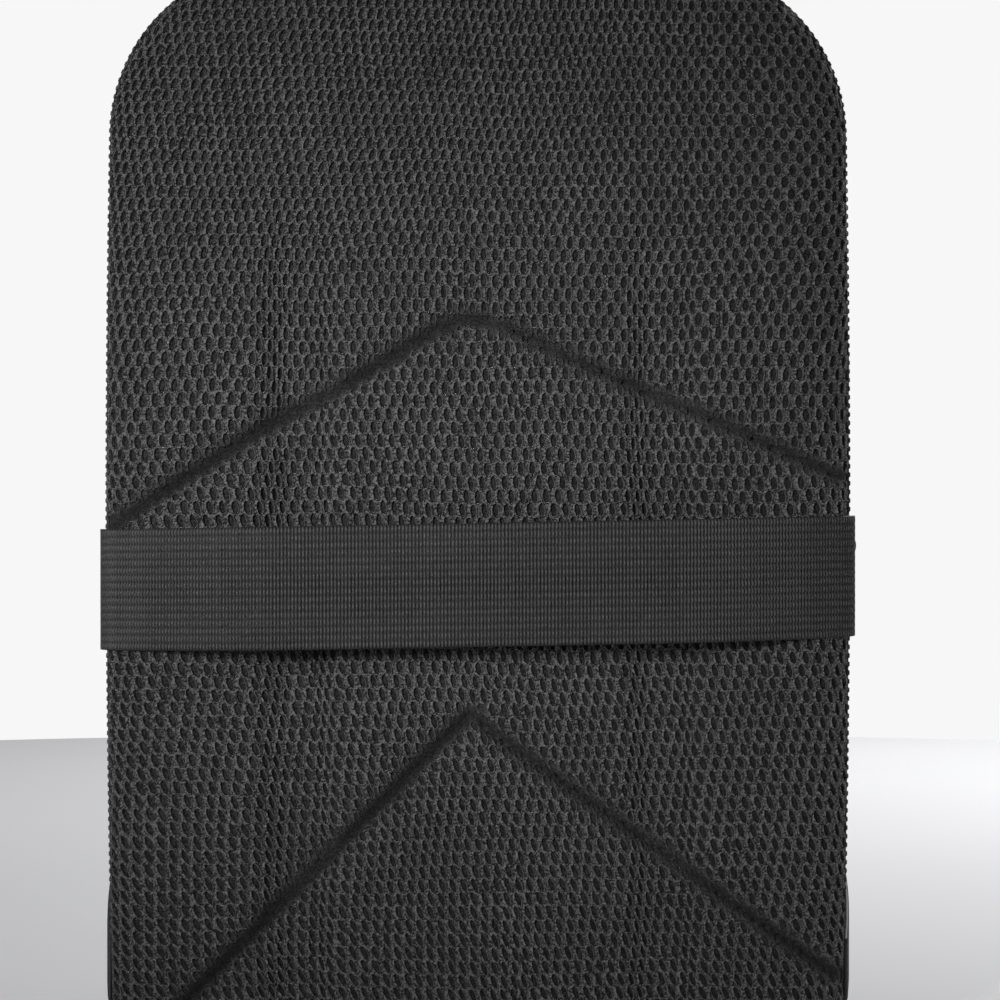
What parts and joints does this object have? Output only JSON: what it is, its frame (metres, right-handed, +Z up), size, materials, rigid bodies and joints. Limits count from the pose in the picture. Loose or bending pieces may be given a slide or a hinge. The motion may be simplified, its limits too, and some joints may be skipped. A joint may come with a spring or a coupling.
{
  "type": "laptop backpack",
  "caption": "Laptop backpack with a padded air-mesh back pressed in chevrons, a wide luggage strap across it, shoulder straps thrown over the top, a carry handle and a zipped front pocket.",
  "frame": {"origin": "middle of the flat base, at floor height", "axes": "+Z up along the bag's height; -Y is the padded back that the wearer and a suitcase meet, +Y the pocket side; +X to the right seen from behind the bag"},
  "size_m": [0.3226, 0.2492, 0.4988],
  "materials": {
    "mesh": "knitted spacer mesh with staggered oval holes over foam, matt charcoal",
    "cloth": "plain-woven polyester, matt black",
    "strapping": "ribbed woven webbing, slight sheen",
    "zip_tape": "woven zip tape with a coil",
    "moulded": "fine moulded grain, satin"
  },
  "bodies": {
    "root": {"back_panel": "mesh", "shoulder_strap_left": "mesh", "shoulder_strap_right": "mesh", "front_panel": "cloth", "front_pocket": "cloth", "lower_gusset": "cloth", "rear_gusset": "cloth", "front_gusset": "cloth", "luggage_strap": "strapping", "carry_handle": "strapping", "strap_tongue_left": "strapping", "strap_tongue_right": "strapping", "strap_webbing_left": "strapping", "strap_webbing_right": "strapping", "main_zip": "zip_tape", "pocket_zip": "zip_tape", "main_zip_puller": "moulded", "pocket_zip_puller": "moulded", "strap_adjuster_left": "moulded", "strap_adjuster_right": "moulded"}
  },
  "joints": []
}
